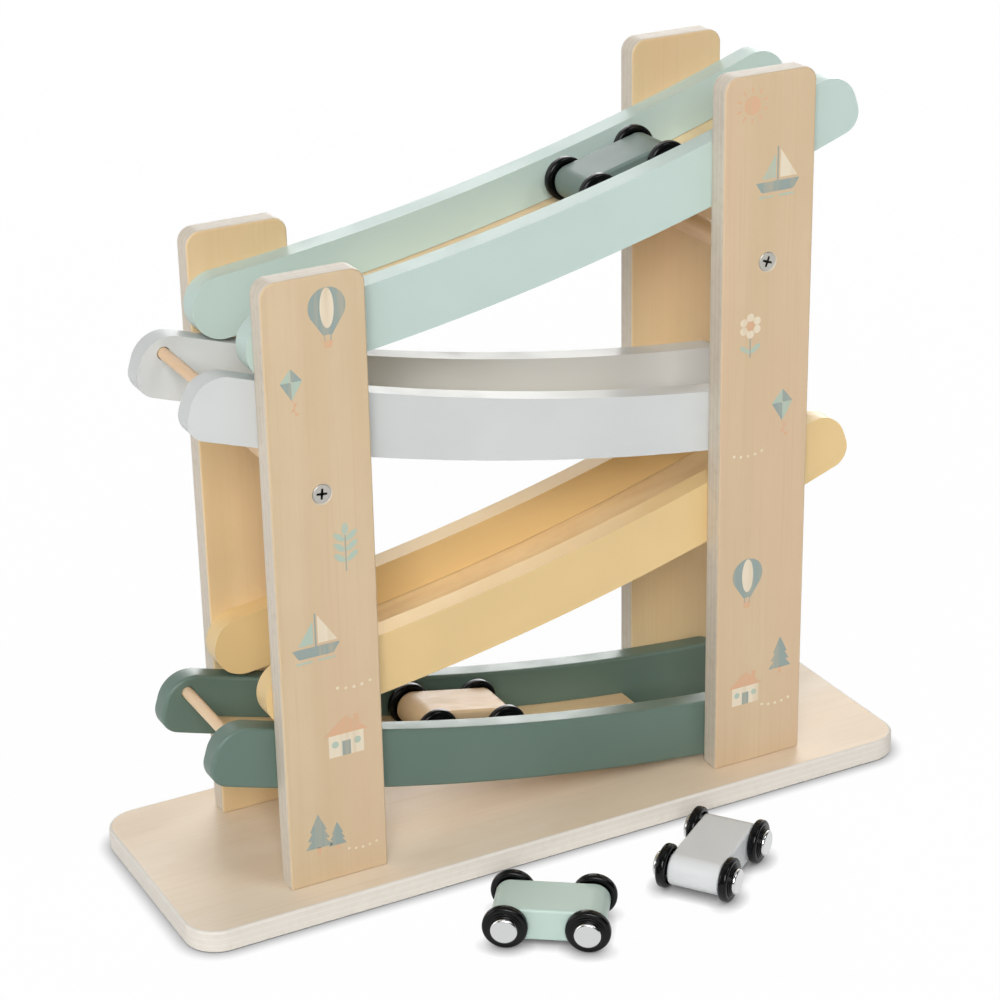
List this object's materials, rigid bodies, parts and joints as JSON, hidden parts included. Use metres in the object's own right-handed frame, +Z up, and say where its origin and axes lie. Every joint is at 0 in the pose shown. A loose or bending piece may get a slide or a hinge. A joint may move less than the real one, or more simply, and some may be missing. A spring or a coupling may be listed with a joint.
{
  "type": "click clack track toy",
  "caption": "Wooden ramp tower on a flat base: small cars roll down curved ramps between posts and drop through end gaps from ramp to ramp.",
  "frame": {"origin": "centre of the base board's underside", "axes": "+X along the base board to the right, +Y to the rear, +Z up"},
  "size_m": [0.35, 0.192, 0.3277],
  "materials": {
    "base_plywood": "satin lacquered birch veneer with whitewashed ply edges",
    "post_plywood": "satin lacquered birch veneer with whitewashed ply edges, printed",
    "screw_steel": "zinc plated",
    "mint_rail_paint": "satin mint paint on wood",
    "white_rail_paint": "satin off-white paint on wood",
    "yellow_rail_paint": "satin straw yellow paint on wood",
    "green_rail_paint": "satin grey-green paint on wood",
    "floor_beech": "natural, satin",
    "dowel_beech": "natural, satin",
    "mint_car_paint": "satin mint paint on wood",
    "grey_car_paint": "satin light grey paint on wood",
    "green_car_paint": "satin grey-green paint on wood",
    "car_beech": "natural, satin",
    "axle_steel": "drawn rod",
    "cap_steel": "polished",
    "wheel_black": "moulded, glossy"
  },
  "bodies": {
    "frame": {"base_board": "base_plywood", "base_screws": "screw_steel", "left_front_post": "post_plywood", "left_rear_post": "post_plywood", "right_front_post": "post_plywood", "right_rear_post": "post_plywood", "mint_front_rail": "mint_rail_paint", "mint_rear_rail": "mint_rail_paint", "mint_floor": "floor_beech", "white_front_rail": "white_rail_paint", "white_rear_rail": "white_rail_paint", "white_floor": "floor_beech", "yellow_front_rail": "yellow_rail_paint", "yellow_rear_rail": "yellow_rail_paint", "yellow_floor": "floor_beech", "green_front_rail": "green_rail_paint", "green_rear_rail": "green_rail_paint", "green_floor": "floor_beech", "white_stop_dowel": "dowel_beech", "yellow_stop_dowel": "dowel_beech", "green_stop_dowel": "dowel_beech", "left_cross_dowel": "dowel_beech", "right_cross_dowel": "dowel_beech", "post_screws": "screw_steel", "locating_dowels": "dowel_beech"},
    "mint_car": {"mint_car_body": "mint_car_paint", "mint_car_axles": "axle_steel", "mint_car_caps": "cap_steel"},
    "mint_car_front_left_wheel": {"mint_car_front_left_wheel": "wheel_black"},
    "mint_car_front_right_wheel": {"mint_car_front_right_wheel": "wheel_black"},
    "mint_car_rear_left_wheel": {"mint_car_rear_left_wheel": "wheel_black"},
    "mint_car_rear_right_wheel": {"mint_car_rear_right_wheel": "wheel_black"},
    "grey_car": {"grey_car_body": "grey_car_paint", "grey_car_axles": "axle_steel", "grey_car_caps": "cap_steel"},
    "grey_car_front_left_wheel": {"grey_car_front_left_wheel": "wheel_black"},
    "grey_car_front_right_wheel": {"grey_car_front_right_wheel": "wheel_black"},
    "grey_car_rear_left_wheel": {"grey_car_rear_left_wheel": "wheel_black"},
    "grey_car_rear_right_wheel": {"grey_car_rear_right_wheel": "wheel_black"},
    "green_car": {"green_car_body": "green_car_paint", "green_car_axles": "axle_steel", "green_car_caps": "cap_steel"},
    "green_car_front_left_wheel": {"green_car_front_left_wheel": "wheel_black"},
    "green_car_front_right_wheel": {"green_car_front_right_wheel": "wheel_black"},
    "green_car_rear_left_wheel": {"green_car_rear_left_wheel": "wheel_black"},
    "green_car_rear_right_wheel": {"green_car_rear_right_wheel": "wheel_black"},
    "natural_car": {"natural_car_body": "car_beech", "natural_car_axles": "axle_steel", "natural_car_caps": "cap_steel"},
    "natural_car_front_left_wheel": {"natural_car_front_left_wheel": "wheel_black"},
    "natural_car_front_right_wheel": {"natural_car_front_right_wheel": "wheel_black"},
    "natural_car_rear_left_wheel": {"natural_car_rear_left_wheel": "wheel_black"},
    "natural_car_rear_right_wheel": {"natural_car_rear_right_wheel": "wheel_black"}
  },
  "joints": [
    {"name": "mint_car_roll", "type": "slide", "parent": "frame", "child": "mint_car", "axis": [0.8151, -0.5793, 0], "range_m": [-0.025, 0.02]},
    {"name": "grey_car_roll", "type": "slide", "parent": "frame", "child": "grey_car", "axis": [0.808, 0.5892, 0], "range_m": [-0.01, 0.02]},
    {"name": "green_car_roll", "type": "hinge", "parent": "frame", "child": "green_car", "pos_m": [-0.23083, 0, 1.35944], "axis": [0, -1, 0], "range_deg": [-5.8, 2.95]},
    {"name": "natural_car_roll", "type": "hinge", "parent": "frame", "child": "natural_car", "pos_m": [0.19575, 0, 1.13917], "axis": [0, -1, 0], "range_deg": [-4.45, 4.25]},
    {"name": "mint_car_front_left_spin", "type": "hinge", "parent": "mint_car", "child": "mint_car_front_left_wheel", "pos_m": [-0.01709, -0.10566, 0.0095], "axis": [0.5793, 0.8151, 0], "continuous": true},
    {"name": "mint_car_front_right_spin", "type": "hinge", "parent": "mint_car", "child": "mint_car_front_right_wheel", "pos_m": [-0.03343, -0.12865, 0.0095], "axis": [0.5793, 0.8151, 0], "continuous": true},
    {"name": "mint_car_rear_left_spin", "type": "hinge", "parent": "mint_car", "child": "mint_car_rear_left_wheel", "pos_m": [-0.04497, -0.08585, 0.0095], "axis": [0.5793, 0.8151, 0], "continuous": true},
    {"name": "mint_car_rear_right_spin", "type": "hinge", "parent": "mint_car", "child": "mint_car_rear_right_wheel", "pos_m": [-0.06131, -0.10884, 0.0095], "axis": [0.5793, 0.8151, 0], "continuous": true},
    {"name": "grey_car_front_left_spin", "type": "hinge", "parent": "grey_car", "child": "grey_car_front_left_wheel", "pos_m": [0.04851, -0.08058, 0.0095], "axis": [-0.5892, 0.808, 0], "continuous": true},
    {"name": "grey_car_front_right_spin", "type": "hinge", "parent": "grey_car", "child": "grey_car_front_right_wheel", "pos_m": [0.06512, -0.10337, 0.0095], "axis": [-0.5892, 0.808, 0], "continuous": true},
    {"name": "grey_car_rear_left_spin", "type": "hinge", "parent": "grey_car", "child": "grey_car_rear_left_wheel", "pos_m": [0.02088, -0.10073, 0.0095], "axis": [-0.5892, 0.808, 0], "continuous": true},
    {"name": "grey_car_rear_right_spin", "type": "hinge", "parent": "grey_car", "child": "grey_car_rear_right_wheel", "pos_m": [0.03749, -0.12352, 0.0095], "axis": [-0.5892, 0.808, 0], "continuous": true},
    {"name": "green_car_front_left_spin", "type": "hinge", "parent": "green_car", "child": "green_car_front_left_wheel", "pos_m": [0.07163, 0.0141, 0.28747], "axis": [0, 1, 0], "continuous": true},
    {"name": "green_car_front_right_spin", "type": "hinge", "parent": "green_car", "child": "green_car_front_right_wheel", "pos_m": [0.07163, -0.0141, 0.28747], "axis": [0, 1, 0], "continuous": true},
    {"name": "green_car_rear_left_spin", "type": "hinge", "parent": "green_car", "child": "green_car_rear_left_wheel", "pos_m": [0.03857, 0.0141, 0.27869], "axis": [0, 1, 0], "continuous": true},
    {"name": "green_car_rear_right_spin", "type": "hinge", "parent": "green_car", "child": "green_car_rear_right_wheel", "pos_m": [0.03857, -0.0141, 0.27869], "axis": [0, 1, 0], "continuous": true},
    {"name": "natural_car_front_left_spin", "type": "hinge", "parent": "natural_car", "child": "natural_car_front_left_wheel", "pos_m": [-0.04316, 0.0141, 0.05127], "axis": [0, 1, 0], "continuous": true},
    {"name": "natural_car_front_right_spin", "type": "hinge", "parent": "natural_car", "child": "natural_car_front_right_wheel", "pos_m": [-0.04316, -0.0141, 0.05127], "axis": [0, 1, 0], "continuous": true},
    {"name": "natural_car_rear_left_spin", "type": "hinge", "parent": "natural_car", "child": "natural_car_rear_left_wheel", "pos_m": [-0.00964, 0.0141, 0.04445], "axis": [0, 1, 0], "continuous": true},
    {"name": "natural_car_rear_right_spin", "type": "hinge", "parent": "natural_car", "child": "natural_car_rear_right_wheel", "pos_m": [-0.00964, -0.0141, 0.04445], "axis": [0, 1, 0], "continuous": true}
  ]
}
